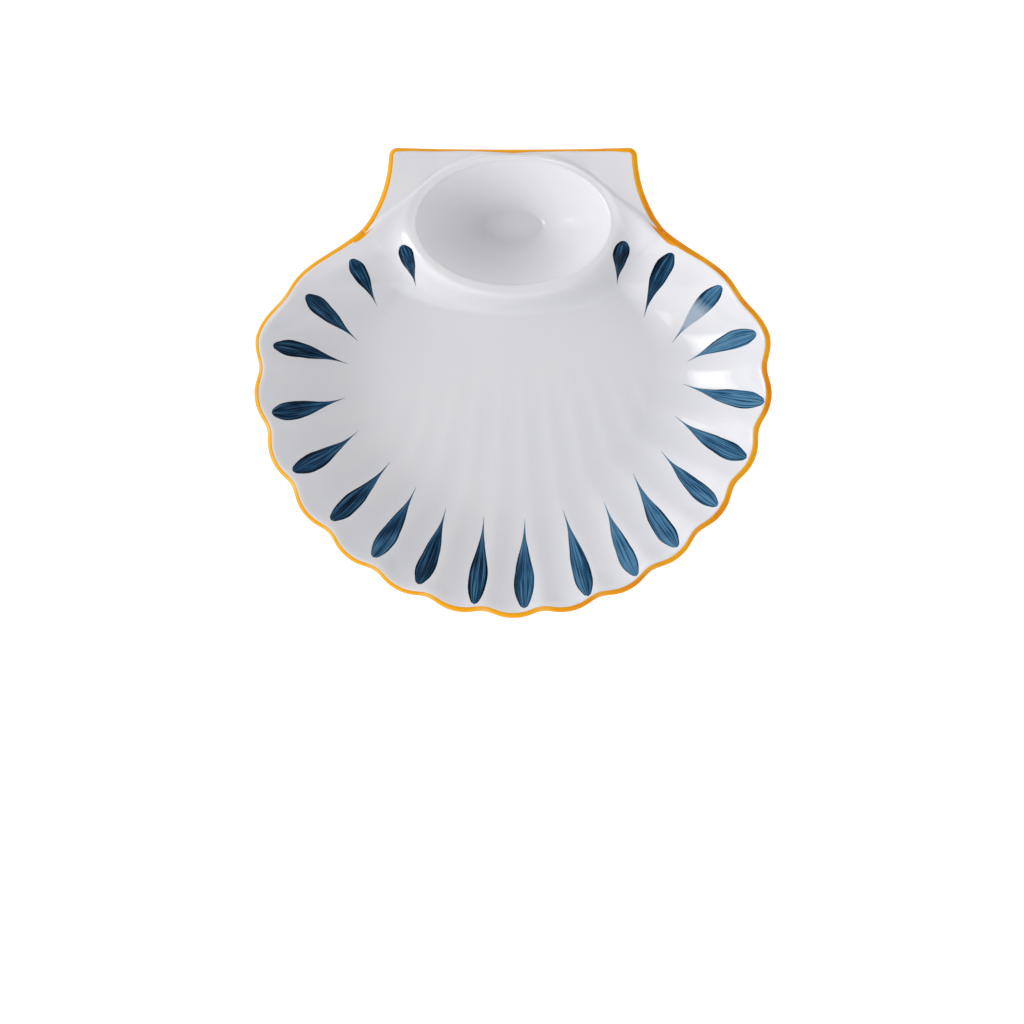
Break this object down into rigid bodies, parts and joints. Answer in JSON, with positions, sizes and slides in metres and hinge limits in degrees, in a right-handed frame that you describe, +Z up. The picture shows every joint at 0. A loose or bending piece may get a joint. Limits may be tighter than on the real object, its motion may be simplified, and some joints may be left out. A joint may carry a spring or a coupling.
{
  "type": "divided plate",
  "caption": "Scallop-shell ceramic plate with a fluted dish, an oval sauce well at its hinge, painted brush strokes in the flutes and a painted rim line.",
  "frame": {"origin": "on the table, under the middle of the plate's outline", "axes": "+X to the right across the widest scallops, +Y from the front scallops to the straight hinge edge, +Z up"},
  "size_m": [0.215, 0.1955, 0.0338],
  "materials": {
    "white_glaze": "glossy, slightly bluish white glaze",
    "bare_foot": "glazed sides, bare where it stands",
    "orange_line": "hand-painted orange-yellow line under gloss",
    "cobalt_paint": "hand-painted cobalt with brush streaks under gloss"
  },
  "bodies": {
    "root": {"dish_shell": "white_glaze", "well_divider": "white_glaze", "sauce_well": "white_glaze", "hinge_ear_left": "white_glaze", "hinge_ear_right": "white_glaze", "foot_ring": "bare_foot", "rim_line_front": "orange_line", "rim_line_hinge": "orange_line", "brush_stroke_01": "cobalt_paint", "brush_stroke_02": "cobalt_paint", "brush_stroke_03": "cobalt_paint", "brush_stroke_04": "cobalt_paint", "brush_stroke_05": "cobalt_paint", "brush_stroke_06": "cobalt_paint", "brush_stroke_07": "cobalt_paint", "brush_stroke_08": "cobalt_paint", "brush_stroke_09": "cobalt_paint", "brush_stroke_10": "cobalt_paint", "brush_stroke_11": "cobalt_paint", "brush_stroke_12": "cobalt_paint", "brush_stroke_13": "cobalt_paint", "brush_stroke_14": "cobalt_paint", "brush_stroke_15": "cobalt_paint", "brush_stroke_16": "cobalt_paint", "brush_stroke_17": "cobalt_paint", "brush_stroke_18": "cobalt_paint", "brush_stroke_19": "cobalt_paint", "brush_stroke_20": "cobalt_paint", "brush_stroke_21": "cobalt_paint"}
  },
  "joints": []
}
